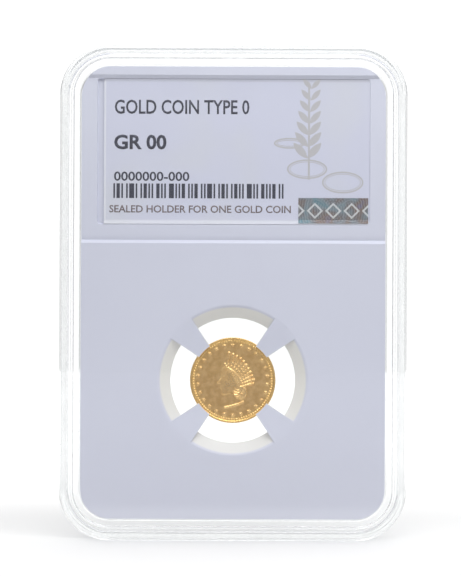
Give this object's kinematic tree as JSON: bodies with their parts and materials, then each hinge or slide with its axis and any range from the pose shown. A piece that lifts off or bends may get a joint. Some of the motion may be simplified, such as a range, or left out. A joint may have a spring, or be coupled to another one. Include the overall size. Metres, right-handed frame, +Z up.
{
  "type": "graded coin slab",
  "caption": "Sealed clear rectangular coin holder with rounded corners and stacking rims, holding a label and a small gold coin gripped by prongs in a white core.",
  "frame": {"origin": "middle of the bottom edge, on the surface that the holder stands on, halfway through its thickness", "axes": "+X to the viewer's right, +Y from the front window to the rear window, +Z up the holder's long side; the front faces -Y"},
  "size_m": [0.0604, 0.008, 0.086],
  "materials": {
    "clear_plastic": "clear, polished, injection moulded polystyrene",
    "core_plastic": "lavender-white moulded plastic, faint satin",
    "coin_gold": "struck gold alloy, lightly worn lustre",
    "label_paper": "coated label stock, printed",
    "label_foil": "embossed diffraction foil",
    "rear_label_foil": "embossed diffraction foil"
  },
  "bodies": {
    "root": {"front_shell": "clear_plastic", "rear_shell": "clear_plastic", "coin_core": "core_plastic", "coin": "coin_gold", "front_label": "label_paper", "label_foil_patch": "label_foil", "rear_label": "rear_label_foil"}
  },
  "joints": []
}
